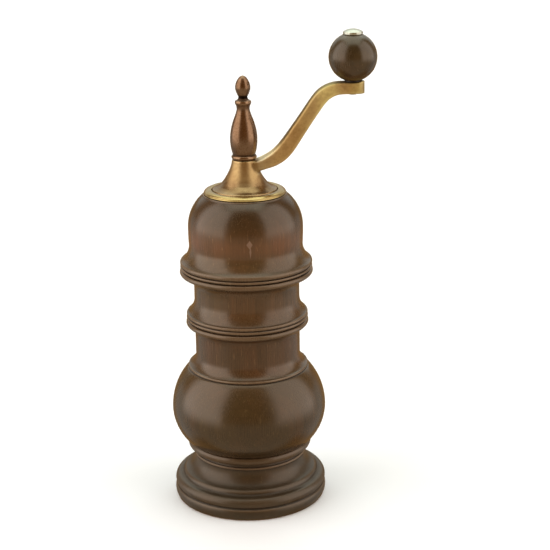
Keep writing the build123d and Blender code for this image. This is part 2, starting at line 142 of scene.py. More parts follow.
def drawn(start, *steps, closed=False):
    """Outline in radius and height: (r, z) ends a straight run, (via_r, via_z, r, z) ends an arc,
    and a list of points is a smooth curve."""
    parts = [np.array([start], float)]
    for step in steps + ((start,) if closed else ()):
        here = parts[-1][-1]
        if isinstance(step, list):
            parts.append(curve([here, *step]))
        elif len(step) == 4:
            parts.append(arc(here, np.array(step[:2], float), np.array(step[2:], float)))
        else:
            parts.append(straight(here, np.array(step, float)))
    points = np.concatenate(parts)
    return points[:-1] if closed else points


def blur(values, reach, closed, mirror=False):
    """Gaussian average along an outline. reach is in points. An open outline is carried on past
    its ends, mirrored about the axis of turning where mirror is set."""
    width = int(4 * reach)
    kernel = np.exp(-0.5 * (np.arange(-width, width + 1) / reach) ** 2)
    kernel /= kernel.sum()
    if closed:
        padded = np.concatenate([values[-width:], values, values[:width]])
    else:
        before, after = values[1:width + 1][::-1].copy(), values[-width - 1:-1][::-1].copy()
        if mirror:
            before[:, 0] *= -1
            after[:, 0] *= -1
        padded = np.concatenate([before, values, after])
    if padded.ndim == 1:
        return np.convolve(padded, kernel, "valid")
    return np.stack([np.convolve(column, kernel, "valid") for column in padded.T], 1)


def eased(outline, closed, softening=SOFTENING, finest=0.07, coarsest=1.3, turn=7.0):
    """Outline with eased corners, its points close where it bends and far apart where it doesn't.
    Also returns how sharply each point bends: above 0 on an edge, below 0 in a crevice."""
    points = blur(outline, softening / STEP, closed, mirror=True)
    if closed:
        ahead = np.roll(points, -1, 0)
    else:
        ahead = np.concatenate([points[1:], points[-1:] * 2 - points[-2:-1]])
    along = ahead - points
    length = np.maximum(np.linalg.norm(along, axis=1), 1e-6)
    heading = np.unwrap(np.arctan2(along[:, 1], along[:, 0]))
    if closed:
        turns = round((heading[-1] - heading[0]) / FULL_TURN)
        bend = np.diff(np.concatenate([heading, [heading[0] + FULL_TURN * turns]]))
    else:
        bend = np.gradient(heading)
    curvature = blur(bend / length, 0.12 / STEP, closed)
    wide = blur(np.abs(curvature), 0.25 / STEP, closed)
    spacing = np.clip(math.radians(turn) / np.maximum(wide, 1e-3), finest, coarsest)
    count = np.concatenate([[0], np.cumsum(length / spacing)])
    total = int(round(count[-1] if closed else count[-2]))
    wanted = np.arange(total + (0 if closed else 1)) * ((count[-1] if closed else count[-2]) / total)
    at = np.interp(wanted, count, np.arange(len(count)))
    looped = np.concatenate([points, points[:1]])
    kept = np.stack([np.interp(at, np.arange(len(looped)), looped[:, k]) for k in (0, 1)], 1)
    sharp = blur(curvature, 0.22 / STEP, closed)
    sharp = np.interp(at, np.arange(len(sharp) + 1), np.concatenate([sharp, sharp[:1]]))
    if not closed:
        kept[[0, -1], 0] = 0
    return kept, np.clip(sharp * 0.55, -1, 1)


# ------------------------------------------------------------------ meshes
def new_piece(name, vertices, faces, edge_values=None):
    """Mesh object from points in metres, smooth-shaded, with the edge attribute that materials use."""
    mesh = bpy.data.meshes.new(name)
    mesh.from_pydata(vertices, [], faces)
    mesh.polygons.foreach_set("use_smooth", [True] * len(mesh.polygons))
    piece = bpy.data.objects.new(name, mesh)
    bpy.context.scene.collection.objects.link(piece)
    if edge_values is not None:
        mark_edges(mesh, edge_values)
    return piece


def mark_edges(mesh, values):
    attribute = mesh.attributes.get("edge") or mesh.attributes.new("edge", "FLOAT", "POINT")
    attribute.data.foreach_set("value", np.asarray(values, np.float32))


def unevenness(x, y, z, seed):
    """Smooth value from 0 to 1 that varies slowly over a surface."""
    return 0.5 + 0.5 * noise.noise(Vector((x + seed, y - seed, z)))


WAVER_AROUND = 1.3   # how fast a turned surface strays around its axis
WAVER_ALONG = 0.035  # the same, along it


def lathe(name, outline, closed=True, segments=192, centre=(0, 0), waver=0.0, seed=0.0, **easing):
    """Piece turned about an upright axis. waver is how far, in mm, the surface strays inwards."""
    kept, sharp = eased(outline, closed, **easing)
    poles = not closed
    rings = kept[1:-1] if poles else kept
    angles = np.arange(segments) * FULL_TURN / segments
    radius = np.repeat(rings[:, 0][:, None], segments, 1)
    if waver:
        for i, (r, z) in enumerate(rings):
            for j, angle in enumerate(angles):
                place = (math.cos(angle) * WAVER_AROUND, math.sin(angle) * WAVER_AROUND, z * WAVER_ALONG)
                radius[i, j] -= waver * unevenness(*place, seed)
    x = centre[0] + radius * np.cos(angles)
    y = centre[1] + radius * np.sin(angles)
    z = np.repeat(rings[:, 1][:, None], segments, 1)
    vertices = np.stack([x, y, z], -1).reshape(-1, 3)
    edge_values = np.repeat((sharp[1:-1] if poles else sharp)[:, None], segments, 1).ravel()
    count = len(rings)
    faces = []
    for i in range(count if closed else count - 1):
        a, b = i * segments, (i + 1) % count * segments
        faces += [(a + j, a + (j + 1) % segments, b + (j + 1) % segments, b + j)
                  for j in range(segments)]
    if poles:
        first, last = len(vertices), len(vertices) + 1
        ends = [(*centre, kept[0, 1]), (*centre, kept[-1, 1])]
        vertices = np.concatenate([vertices, ends])
        edge_values = np.concatenate([edge_values, [0, 0]])
        top = (count - 1) * segments
        faces += [(first, (j + 1) % segments, j) for j in range(segments)]
        faces += [(last, top + j, top + (j + 1) % segments) for j in range(segments)]
    return new_piece(name, (vertices * MM).tolist(), faces, edge_values)


def copied(node, name):
    """New piece with the shape of a CAD node, its corners joined up again."""
    mesh = NODES[node].data.copy()
    mesh.name = name
    mesh.materials.clear()
    if mesh.has_custom_normals:
        attribute = mesh.attributes.get("custom_normal")
        if attribute:
            mesh.attributes.remove(attribute)
    made = bmesh.new()
    made.from_mesh(mesh)
    bmesh.ops.remove_doubles(made, verts=made.verts, dist=1e-7)
    bmesh.ops.recalc_face_normals(made, faces=made.faces)
    made.to_mesh(mesh)
    made.free()
    piece = bpy.data.objects.new(name, mesh)
    bpy.context.scene.collection.objects.link(piece)
    return piece


def apply_modifiers(piece):
    """Bakes a piece's modifiers into its mesh."""
    shown = piece.evaluated_get(bpy.context.evaluated_depsgraph_get())
    mesh = bpy.data.meshes.new_from_object(shown)
    piece.modifiers.clear()
    piece.data = mesh


def shade_smooth(mesh):
    mesh.polygons.foreach_set("use_smooth", [True] * len(mesh.polygons))


def bevel_sharp(piece, width, segments=2, angle=35):
    """Rounds off a piece's sharp edges. width is in mm."""
    bevel = piece.modifiers.new("bevel", "BEVEL")
    bevel.width = width * MM
    bevel.segments = segments
    bevel.limit_method = "ANGLE"
    bevel.angle_limit = math.radians(angle)
    weighted = piece.modifiers.new("weighted", "WEIGHTED_NORMAL")
    weighted.keep_sharp = False
    shade_smooth(piece.data)
    apply_modifiers(piece)


def eased_copy(node, width):
    """Copy of a CAD node, its flat faces whole again and its sharp edges rounded off."""
    piece = copied(node, "eased_" + node)
    made = bmesh.new()
    made.from_mesh(piece.data)
    bmesh.ops.dissolve_limit(made, angle_limit=math.radians(0.5), verts=made.verts, edges=made.edges)
    made.to_mesh(piece.data)
    made.free()
    bevel_sharp(piece, width)
    return piece


def neighbour_mean(values, edges, degree):
    total = np.zeros_like(values)
    np.add.at(total, edges[:, 0], values[edges[:, 1]])
    np.add.at(total, edges[:, 1], values[edges[:, 0]])
    return total / degree


def mesh_arrays(mesh):
    """Points in mm, edges, and how many edges meet at each point."""
    points = np.zeros(len(mesh.vertices) * 3)
    mesh.vertices.foreach_get("co", points)
    edges = np.zeros(len(mesh.edges) * 2, int)
    mesh.edges.foreach_get("vertices", edges)
    edges = edges.reshape(-1, 2)
    degree = np.bincount(edges.ravel(), minlength=len(mesh.vertices))
    shape = (-1, 1)
    return points.reshape(-1, 3) / MM, edges, np.maximum(degree, 1).reshape(shape)


def find_edges(mesh, rounds=6, gain=2.5):
    """Marks edges and crevices from the mesh's own curvature, averaged over a few rounds."""
    points, edges, degree = mesh_arrays(mesh)
    normals = np.zeros(len(mesh.vertices) * 3)
    mesh.vertices.foreach_get("normal", normals)
    offset = points - neighbour_mean(points, edges, degree)
    length = np.linalg.norm(points[edges[:, 0]] - points[edges[:, 1]], axis=1).mean()
    bend = (offset * normals.reshape(-1, 3)).sum(1, keepdims=True) / length ** 2
    for _ in range(rounds):
        bend = 0.5 * bend + 0.5 * neighbour_mean(bend, edges, degree)
    mark_edges(mesh, np.clip(bend[:, 0] * gain, -1, 1))


# ------------------------------------------------------------------ materials
class Nodes:
    """A shader node tree. Each call adds a node, feeds it and returns its output."""

    def __init__(self, tree):
        self.tree = tree
        self.tree.nodes.clear()

    def node(self, kind, inputs=(), **settings):
        made = self.tree.nodes.new("ShaderNode" + kind)
        for key, value in settings.items():
            setattr(made, key, value)
        for key, value in dict(inputs).items():
            self.feed(made.inputs[key], value)
        return made

    def feed(self, socket, value):
        if isinstance(value, bpy.types.NodeSocket):
            self.tree.links.new(value, socket)
        elif socket.type == "RGBA":
            socket.default_value = (*value[:3], 1.0)
        else:
            socket.default_value = value

    def span(self, value, low, high, start=0.0, end=1.0, smooth=False):
        """Maps low..high to start..end and holds it there."""
        made = self.node("MapRange", {
            "Value": value, "From Min": low, "From Max": high, "To Min": start, "To Max": end})
        made.clamp = True
        if smooth:
            made.interpolation_type = "SMOOTHSTEP"
        return made.outputs["Result"]

    def maths(self, operation, a, b=0.0):
        made = self.node("Math", operation=operation)
        self.feed(made.inputs[0], a)
        self.feed(made.inputs[1], b)
        return made.outputs[0]

    def mix(self, amount, a, b, mode="MIX"):
        made = self.node("Mix", data_type="RGBA", blend_type=mode)
        self.feed(made.inputs["Factor"], amount)
        self.feed(made.inputs[6], a)
        self.feed(made.inputs[7], b)
        return made.outputs[2]

    def ramp(self, value, stops):
        """Colour that runs through (place, colour) stops, its place from 0 to 1."""
        made = self.node("ValToRGB", {"Fac": value})
        elements = made.color_ramp.elements
        while len(elements) < len(stops):
            elements.new(1.0)
        for element, (place, colour) in zip(elements, stops):
            element.position = place
            element.color = (*colour, 1.0)
        return made.outputs["Color"]


class Finish(Nodes):
    """One procedural material."""

    def __init__(self, name, roughness=0.5, metallic=0.0, **fixed):
        self.material = bpy.data.materials.new(name)
        self.material.use_nodes = True
        super().__init__(self.material.node_tree)
        self.shader = self.node("BsdfPrincipled")
        output = self.node("OutputMaterial")
        self.tree.links.new(self.shader.outputs[0], output.inputs["Surface"])
        self.set(Roughness=roughness, Metallic=metallic, **fixed)
        self.where = self.node("TexCoord").outputs["Object"]

    def set(self, **values):
        for key, value in values.items():
            self.feed(self.shader.inputs[key.replace("_", " ")], value)

    def place(self, per_mm=(1, 1, 1), shift=(0, 0, 0)):
        """Position on the piece. per_mm is how fast the texture runs along each axis."""
        scale = [1000 * each for each in per_mm]
        made = self.node("Mapping", {"Vector": self.where, "Scale": scale, "Location": shift})
        return made.outputs[0]

    def grain(self, per_mm, detail=3.0, roughness=0.5, distortion=0.0, shift=(0, 0, 0)):
        """Cloudy value about 0.5. per_mm is one number, or one for each axis."""
        if not hasattr(per_mm, "__len__"):
            per_mm = (per_mm,) * 3
        return self.node("TexNoise", {
            "Vector": self.place(per_mm, shift), "Scale": 1.0, "Detail": detail,
            "Roughness": roughness, "Distortion": distortion}).outputs["Fac"]

    def edge(self):
        """Above 0 on worn edges, below 0 in crevices."""
        return self.node("Attribute", attribute_name="edge").outputs["Fac"]

    def bump(self, *layers):
        """Surface relief. Each layer is (height, strength, distance in mm)."""
        normal = None
        for height, strength, distance in layers:
            made = self.node("Bump", {
                "Height": height, "Strength": strength, "Distance": distance * MM})
            if normal is not None:
                self.feed(made.inputs["Normal"], normal)
            normal = made.outputs[0]
        self.set(Normal=normal)


CHIP_COLOUR = (0.24, 0.15, 0.11)
PALE_FLECK = (1.9, 2.0, 2.3)      # times the wood's own colour
WORN_WOOD = (0.20, 0.135, 0.085)
# near-black that crevices are darkened towards: dirt and painted shade
CREVICE_DIRT_AND_SHADE = (0.008, 0.005, 0.003)


def chip_mark(finish, x, y, z):
    """Kite-shaped chip with a tail, low on the front of the dome: 1 inside it."""
    def kite(across, up, half_width, half_height):
        sideways = finish.maths("ABSOLUTE", finish.maths("SUBTRACT", x, across * MM))
        upright = finish.maths("ABSOLUTE", finish.maths("SUBTRACT", z, up * MM))
        reach = finish.maths("ADD", finish.maths("DIVIDE", sideways, half_width * MM),
                             finish.maths("DIVIDE", upright, half_height * MM))
        return finish.span(reach, 1.0, 0.8)
    mark = finish.maths("MAXIMUM", kite(2.1, 126.6, 1.5, 2.2), kite(2.4, 123.4, 0.5, 3.2))
    return finish.maths("MULTIPLY", mark, finish.maths("LESS_THAN", y, 0.0))


def wood(name, pith, seed, tones, dull_foot=False, chipped=False, **fixed):
    """Dark stained beech under satin varnish. pith is the (x, y) of the tree's heart, in mm.
    tones are (height in mm, colour) pairs from the bottom up."""
    finish = Finish(name, Specular_Tint=(1.0, 0.82, 0.66), Specular_IOR_Level=0.60,
                    Coat_Weight=0.12, Coat_Roughness=0.14, **fixed)
    shift = (seed * 3.1, seed * 7.7, seed * 1.3)
    rings = finish.node("TexWave", {
        "Vector": finish.place((1, 1, 0.035), (-pith[0], -pith[1], 0)), "Scale": 0.125,
        "Distortion": 2.6, "Detail": 3.0, "Detail Scale": 0.55, "Detail Roughness": 0.55},
        wave_type="RINGS", rings_direction="Z", wave_profile="SAW").outputs["Fac"]
    clouds = finish.grain(0.045, 3, shift=shift)
    red = finish.grain((0.07, 0.07, 0.03), 2, shift=(shift[1], shift[0], 4))
    fibre = finish.grain((2.4, 2.4, 0.09), 4, 0.6, shift=shift)
    streak = finish.grain((0.75, 0.75, 0.03), 3, 0.55, 0.2, shift=shift)
    fleck = finish.grain((1.5, 1.5, 0.22), 2, 0.5, shift=(shift[2], shift[1], 0))
    pore = finish.grain((5.5, 5.5, 0.5), 2, 0.5, shift=(9, shift[2], 0))

    x, y, height = finish.node("SeparateXYZ", {"Vector": finish.where}).outputs
    low, high = tones[0][0], tones[-1][0]
    stops = [((place - low) / (high - low), tone) for place, tone in tones]
    colour = finish.ramp(finish.span(height, low * MM, high * MM), stops)
    stain = finish.mix(1.0, colour, (0.52, 0.54, 0.56), "MULTIPLY")
    flush = finish.mix(1.0, colour, (1.30, 1.02, 0.95), "MULTIPLY")
    pale = finish.mix(1.0, colour, PALE_FLECK, "MULTIPLY")
    colour = finish.mix(finish.span(clouds, 0.34, 0.66, 0, 0.55, True), colour, stain)
    colour = finish.mix(finish.span(red, 0.42, 0.68, 0, 0.8, True), colour, flush)
    colour = finish.mix(finish.span(rings, 0.1, 1.0, 0.0, 0.40), colour, stain)
    colour = finish.mix(finish.span(streak, 0.38, 0.7, 0.0, 0.45), colour, stain)
    colour = finish.mix(finish.span(fibre, 0.35, 0.72, 0.0, 0.35), colour, flush)
    flecks = finish.span(fleck, 0.65, 0.71)
    colour = finish.mix(finish.maths("MULTIPLY", flecks, 0.7), colour, pale)
    pores = finish.span(pore, 0.68, 0.74)
    colour = finish.mix(finish.maths("MULTIPLY", pores, 0.5), colour, (0.010, 0.006, 0.003))
    edge = finish.edge()
    worn = finish.maths("MULTIPLY", finish.span(edge, 0.12, 0.6), finish.span(clouds, 0.3, 0.6, 0.3, 1.0))
    colour = finish.mix(finish.maths("MULTIPLY", worn, 0.65), colour, WORN_WOOD)
    # crevices made darker and rougher: grime and painted shade
    crevice_dirt_and_shade = finish.span(edge, -0.08, -0.5)
    colour = finish.mix(finish.maths("MULTIPLY", crevice_dirt_and_shade, 0.75), colour, CREVICE_DIRT_AND_SHADE)
    relief = [(streak, 0.2, 0.1), (fibre, 0.25, 0.04), (pores, -0.4, 0.04)]
    if chipped:
        mark = chip_mark(finish, x, y, height)
        colour = finish.mix(finish.maths("MULTIPLY", mark, 0.8), colour, CHIP_COLOUR)
        relief.append((mark, -0.5, 0.1))

    rough = finish.span(clouds, 0.3, 0.7, 0.19, 0.29)
    rough = finish.maths("ADD", rough, finish.span(fibre, 0.3, 0.7, -0.02, 0.05))
    rough = finish.maths("ADD", rough, finish.maths("MULTIPLY", crevice_dirt_and_shade, 0.25))
    if dull_foot:
        rough = finish.maths("ADD", rough, finish.span(height, 30 * MM, 22 * MM, 0.0, 0.17))
    finish.set(Base_Color=colour, Roughness=rough)
    finish.bump(*relief)
    return finish.material


def metal(name, bright, dull, stain, roughness=(0.25, 0.42), patch=0.12, wear=0.6, relief=0.3,
          scratch=0.0, seed=0.0, worn_colour=None, tones=None, **fixed):
    """Metal with dull patches, dirt and painted shade in its crevices, and brighter worn edges. tones is
    a function that makes a colour to multiply by and a roughness to add."""
    finish = Finish(name, metallic=1.0, **fixed)
    shift = (seed * 5.3, seed * 2.9, seed * 7.1)
    patches = finish.grain(patch, 4, 0.6, 0.3, shift)
    mottle = finish.grain(patch * 7, 3, 0.6, 0.0, shift)
    fine = finish.grain(6.0, 2, 0.6, 0.0, shift)
    colour = finish.mix(finish.span(patches, 0.36, 0.66, smooth=True), bright, dull)
    colour = finish.mix(finish.span(mottle, 0.45, 0.75, 0, 0.45), colour, stain)
    edge = finish.edge()
    worn = finish.maths("MULTIPLY", finish.span(edge, 0.08, 0.5), wear)
    colour = finish.mix(worn, colour, worn_colour or bright)
    # crevices made darker and rougher: grime and painted shade
    crevice_dirt_and_shade = finish.span(edge, -0.06, -0.45)
    colour = finish.mix(finish.maths("MULTIPLY", crevice_dirt_and_shade, 0.8), colour, tuple(0.25 * c for c in stain))
    rough = finish.span(mottle, 0.3, 0.7, *roughness)
    rough = finish.maths("ADD", rough, finish.maths("MULTIPLY", crevice_dirt_and_shade, 0.25))
    rough = finish.maths("SUBTRACT", rough, finish.maths("MULTIPLY", worn, 0.08))
    if tones:
        tone, extra = tones(finish)
        colour = finish.mix(1.0, colour, tone, "MULTIPLY")
        rough = finish.maths("ADD", rough, extra)
    finish.set(Base_Color=colour, Roughness=rough)
    layers = [(mottle, relief, 0.05), (fine, relief * 0.6, 0.015)]
    if scratch:
        turned = finish.grain((0.25, 0.25, 9.0), 2, 0.6, 0.0, shift)
        layers.append((turned, scratch, 0.02))
    finish.bump(*layers)
    return finish.material


BELL_TONE = (0.28, 0.185, 0.088)
BELL_NECK_TONE = (0.40, 0.275, 0.125)
BELL_NECK_ROUGHNESS = 0.12        # more than the rest of the bell's
# colours along the arm: worn lacquer, its pale and bright bands at the root, the upper bend and near the
# end partly painted highlights
ARM_TONES_AND_HIGHLIGHTS = (
    # place along the arm in mm, colour
    (8, (0.56, 0.43, 0.23)), (14, (0.54, 0.37, 0.16)), (22, (0.53, 0.35, 0.145)),
    (27, (0.56, 0.40, 0.17)), (31, (0.68, 0.52, 0.24)), (35, (0.80, 0.68, 0.30)),
    (39, (0.80, 0.68, 0.30)), (43, (0.60, 0.43, 0.19)), (46.5, (0.54, 0.38, 0.145)),
    (50, (0.62, 0.49, 0.19)), (53, (0.34, 0.26, 0.13)),
)
ARM_BACK = (-0.6, 0.0, 0.8)       # the way that the arm's upper side faces
# painted shade: the arm's upper side made darker away from the bell
UPPER_SIDE_SHADE = (0.34, 0.32, 0.28)      # times the arm's colour on that side
ROOT_HIGHLIGHT_AND_RUB = (1.5, 1.75, 2.2)    # the same next to the bell: a painted highlight, where hands have also rubbed it bright
ARM_ROUGHNESS = 0.30              # more than the polished bell's


def crank_tones(finish):
    """Polished bell, and a duller arm whose lacquer has worn to several colours, with painted highlights
    in its brighter bands and painted shade on its upper side.
    """
    x, _, z = finish.node("SeparateXYZ", {"Vector": finish.where}).outputs
    on_arm = finish.maths("MULTIPLY", finish.span(z, 151.8 * MM, 153.2 * MM, smooth=True),
                          finish.span(x, 5.0 * MM, 7.5 * MM, smooth=True))
    low, high = ARM_TONES_AND_HIGHLIGHTS[0][0], ARM_TONES_AND_HIGHLIGHTS[-1][0]
    stops = [((place - low) / (high - low), tone) for place, tone in ARM_TONES_AND_HIGHLIGHTS]
    along = finish.ramp(finish.span(x, low * MM, high * MM), stops)
    normal = finish.node("TexCoord").outputs["Normal"]
    tilt = finish.node("VectorMath", {0: normal, 1: ARM_BACK}, operation="DOT_PRODUCT").outputs["Value"]
    # the arm's upper side is painted darker as shade, except next to the bell
    shaded_upper_side = finish.maths("MULTIPLY", finish.span(tilt, 0.35, 0.8), finish.span(x, 13 * MM, 18 * MM))
    # next to the bell the upper side is painted paler: a painted highlight on rubbed metal
    highlit_and_rubbed = finish.maths("MULTIPLY", finish.span(tilt, 0.05, 0.5), finish.span(x, 17 * MM, 12 * MM))
    along = finish.mix(shaded_upper_side, along, finish.mix(1.0, along, UPPER_SIDE_SHADE, "MULTIPLY"))
    along = finish.mix(highlit_and_rubbed, along, finish.mix(1.0, along, ROOT_HIGHLIGHT_AND_RUB, "MULTIPLY"))
    neck = finish.span(z, 148.5 * MM, 152 * MM, smooth=True)
    bell = finish.mix(neck, BELL_TONE, BELL_NECK_TONE)
    extra = finish.maths("MAXIMUM", finish.maths("MULTIPLY", on_arm, ARM_ROUGHNESS),
                         finish.maths("MULTIPLY", neck, BELL_NECK_ROUGHNESS))
    return finish.mix(on_arm, bell, along), extra


FINIAL_NECK_Z = 186.5     # mm


def finial_tones(finish):
    """Darker band round the finial's neck under the small ball: dirt and painted shade."""
    height = finish.node("SeparateXYZ", {"Vector": finish.where}).outputs[2]
    away = finish.maths("ABSOLUTE", finish.maths("SUBTRACT", height, FINIAL_NECK_Z * MM))
    return finish.span(away, 0.5 * MM, 1.2 * MM, 0.2, 1.0, smooth=True), 0.0


FOOT_TONE = (0.028, 0.019, 0.008)
WAIST_TONE = (0.040, 0.027, 0.011)
BALL_TONE = (0.054, 0.034, 0.0135)
RING_TONE = (0.068, 0.042, 0.018)
NECK_TONE = (0.086, 0.053, 0.0235)
BREAST_TONE = (0.135, 0.064, 0.027)
SHOULDER_TONE = (0.035, 0.020, 0.008)
BODY_TONES = (
    # height in mm, colour
    (0, FOOT_TONE), (14, FOOT_TONE), (20, WAIST_TONE), (28, BALL_TONE), (62, BALL_TONE),
    (67, (0.077, 0.043, 0.019)), (80, (0.077, 0.043, 0.019)), (83.5, RING_TONE), (91, RING_TONE),
    (95, NECK_TONE), (102, NECK_TONE), (107, RING_TONE), (114, RING_TONE),
    (118, NECK_TONE), (123, BREAST_TONE), (126, BREAST_TONE), (130, (0.090, 0.046, 0.019)),
    (134, (0.052, 0.029, 0.012)), (139, SHOULDER_TONE), (143.5, SHOULDER_TONE),
)
KNOB_TONES = (
    (194, (0.044, 0.028, 0.012)), (199, (0.058, 0.038, 0.017)),
    (204, (0.050, 0.034, 0.0145)), (208, (0.032, 0.022, 0.0085)), (213, (0.038, 0.029, 0.012)),
)


def make_materials():
    return {
        "body_wood": wood("body_wood", (2.0, 52.0), 1.0, BODY_TONES, dull_foot=True, chipped=True),
        "knob_wood": wood("knob_wood", (35.0, 30.0), 5.0, KNOB_TONES),
        "aged_brass": metal("aged_brass", (1.0, 1.0, 1.0), (0.80, 0.75, 0.72),
                            (0.52, 0.43, 0.38), (0.24, 0.34), 0.10, 0.5, 0.05, seed=1,
                            worn_colour=(1.35, 1.45, 1.6), tones=crank_tones),
        "bright_brass": metal("bright_brass", (0.41, 0.30, 0.12), (0.33, 0.23, 0.085),
                              (0.26, 0.16, 0.055), (0.20, 0.30), 0.12, 0.4, 0.04, 0.03, seed=2,
                              worn_colour=(0.60, 0.47, 0.20)),
        "bronze": metal("bronze", (0.228, 0.138, 0.084), (0.175, 0.100, 0.056),
                        (0.10, 0.052, 0.026), (0.22, 0.32), 0.14, 0.4, 0.03, 0.03, seed=3,
                        worn_colour=(0.34, 0.22, 0.13), tones=finial_tones),
        "nickel": metal("nickel", (0.52, 0.53, 0.46), (0.45, 0.46, 0.39), (0.30, 0.30, 0.23),
                        (0.26, 0.36), 0.15, 0.3, 0.03, seed=4),
        "steel": metal("steel", (0.56, 0.55, 0.53), (0.42, 0.41, 0.39), (0.20, 0.17, 0.13),
                       (0.25, 0.42), 0.2, 0.5, 0.1, 0.1, seed=5),
        "burr_steel": metal("burr_steel", (0.34, 0.33, 0.33), (0.24, 0.23, 0.23),
                            (0.11, 0.09, 0.07), (0.32, 0.52), 0.25, 0.7, 0.2, seed=6),
        "bush_bronze": metal("bush_bronze", (0.62, 0.40, 0.19), (0.48, 0.29, 0.12),
                             (0.22, 0.12, 0.05), (0.22, 0.36), 0.2, 0.5, 0.08, 0.1, seed=7),
        "dark_washer": metal("dark_washer", (0.040, 0.032, 0.026), (0.028, 0.022, 0.017),
                             (0.015, 0.011, 0.008), (0.4, 0.55), 0.2, 0.4, 0.1, seed=8),
    }


# ------------------------------------------------------------------ turned wooden pieces
BALL_R = 35.3
NECK_R = 23.8
WAIST_R = 25.4
BODY_TOP = node_span("mill_body", 2)[1]


def turned_body():
    outline = drawn(
        (24.0, 0),
        (33.8, 0),
        (34.3, 0.2, 34.5, 0.8),
        (35.1, 2.4, 34.8, 5.1),
        (34.1, 5.7),
        (35.0, 7.6, 32.3, 10.5),
        (31.4, 10.9),
        (31.0, 11.3),
        (30.6, 12.3, 29.4, 13.1),
        (26.6, 15.4, WAIST_R, 19.2),
        (WAIST_R, 20.6),
        (26.0, 21.3, WAIST_R, 22.0),
        (25.2, 23.3),
        (27.6, 24.0),
        (28.5, 25.7, 27.8, 27.4),
        (27.2, 27.9),
        (28.0, 28.3),
        (29.2, 28.4),
        (33.9, 35.8, BALL_R, 43.3),
        (33.45, 53.2, 27.8, 62.3),
        (26.9, 62.8),
        (27.4, 63.4, 26.8, 64.0),
        (24.7, 66.0, NECK_R, 68.9),
        (NECK_R, 79.4),
        (24.4, 81.5, 26.6, 82.9),
        (27.8, 84.2, 27.2, 85.3),
        (26.4, 85.7),
        (27.2, 86.0),
        (27.6, 86.7, 27.2, 87.3),
        (26.8, 87.6),
        (27.4, 87.9),
        (27.4, 88.6, 26.7, 89.1),
        (24.75, 91.7, NECK_R, 95.0),
        (NECK_R, 101.2),
        (24.9, 104.5, 28.7, 106.7),
        (30.0, 107.9, 29.4, 109.1),
        (28.5, 109.4),
        (29.3, 109.7),
        (29.75, 110.3, 29.3, 110.9),
        (28.8, 111.15),
        (29.4, 111.4),
        (29.75, 112.3, 29.1, 113.3),
        (28.3, 113.8),
        (26.35, 116.6, 25.5, 120.0),
        (25.7, 124.2, 25.75, 128.5),
        (23.83, 136.81, 18.8, 143.1),
        (18.7, 143.4, 18.3, BODY_TOP),
        (15.5, BODY_TOP),
        (15.5, 36.0),
        (19.4, 36.0),
        (19.4, 8.0),
        (23.7, 8.0),
        (23.7, 6.2),
        (24.0, 6.2),
        closed=True)
    return lathe("turned_body", outline, segments=176, waver=0.05, seed=3.0, turn=10.0, coarsest=1.6)


def turned_knob():
    centre = node_centre("knob_ball")
    low, high = node_span("knob_ball", 2)
    radius, bore = 10.6, 2.05
    flat = math.sqrt(radius ** 2 - (high - centre[2]) ** 2)
    outline = drawn((bore, low), (flat, low), (radius, centre[2], flat, high), (bore, high), closed=True)
    return lathe("turned_knob", outline, segments=128, centre=centre[:2], waver=0.04, seed=9.0)


# ------------------------------------------------------------------ turned metal pieces
def mouth_rim():
    top = node_span("mouth_ring", 2)[1]
    low = BODY_TOP
    outline = drawn(
        (13.2, 138.0),
        (15.45, 138.0),
        (15.45, low),
        (17.8, low),
        (17.9, low + 0.15),
        (18.3, low + 0.5, 18.05, low + 0.85),
        (17.93, low + 0.94),
        (18.05, low + 1.05),
        (17.25, top - 0.24, 15.4, top),
        (14.95, top),
        (14.75, top - 0.2),
        (14.75, 144.5),
        (13.2, 144.5),
        closed=True)
    return lathe("mouth_rim", outline, softening=0.08, finest=0.05)


def axle_with_cap():
    centre = node_centre("knob_axle")
    low, high = node_span("knob_axle", 2)
    outline = drawn(
        (0, low),
        (1.15, low + 0.15, 2.3, low + 0.6),
        (1.8, low + 0.6),
        (1.8, 192.55),
        (2.0, 192.55),
        (2.0, 213.0),
        (4.3, 213.0),
        (4.3, 214.0),
        (2.15, high - 0.3, 0, high))
    return lathe("axle_with_cap", outline, closed=False, segments=96, centre=centre[:2], softening=0.1)


def flat_washer(node, inner, name):
    low, high = node_span(node, 2)
    centre = node_centre(node)
    outer = node_span(node, 0)[1] - centre[0]
    outline = drawn((inner, low), (outer, low), (outer, high), (inner, high), closed=True)
    return lathe(name, outline, segments=96, centre=centre[:2], softening=0.06, finest=0.05)


def knob_spacer():
    return flat_washer("knob_washer", 2.0, "knob_spacer")


def finial_spacer():
    return flat_washer("finial_washer", 2.4, "finial_spacer")


def coil_spring():
    piece = copied("burr_spring", "coil_spring")
    shade_smooth(piece.data)
    find_edges(piece.data)
    return piece


THREAD_R = 2.0
THREAD_PITCH = 0.7
THREAD_DEPTH = 0.34
THREAD_Z = (157.0, 172.0)
THREAD_FLANK = 1.25       # above 1 flattens the bottom of the groove
THREAD_CHAMFER = 0.45     # mm, at the top end
THREAD_SIDES = 48
THREAD_STEPS = 10         # rings of points in each turn


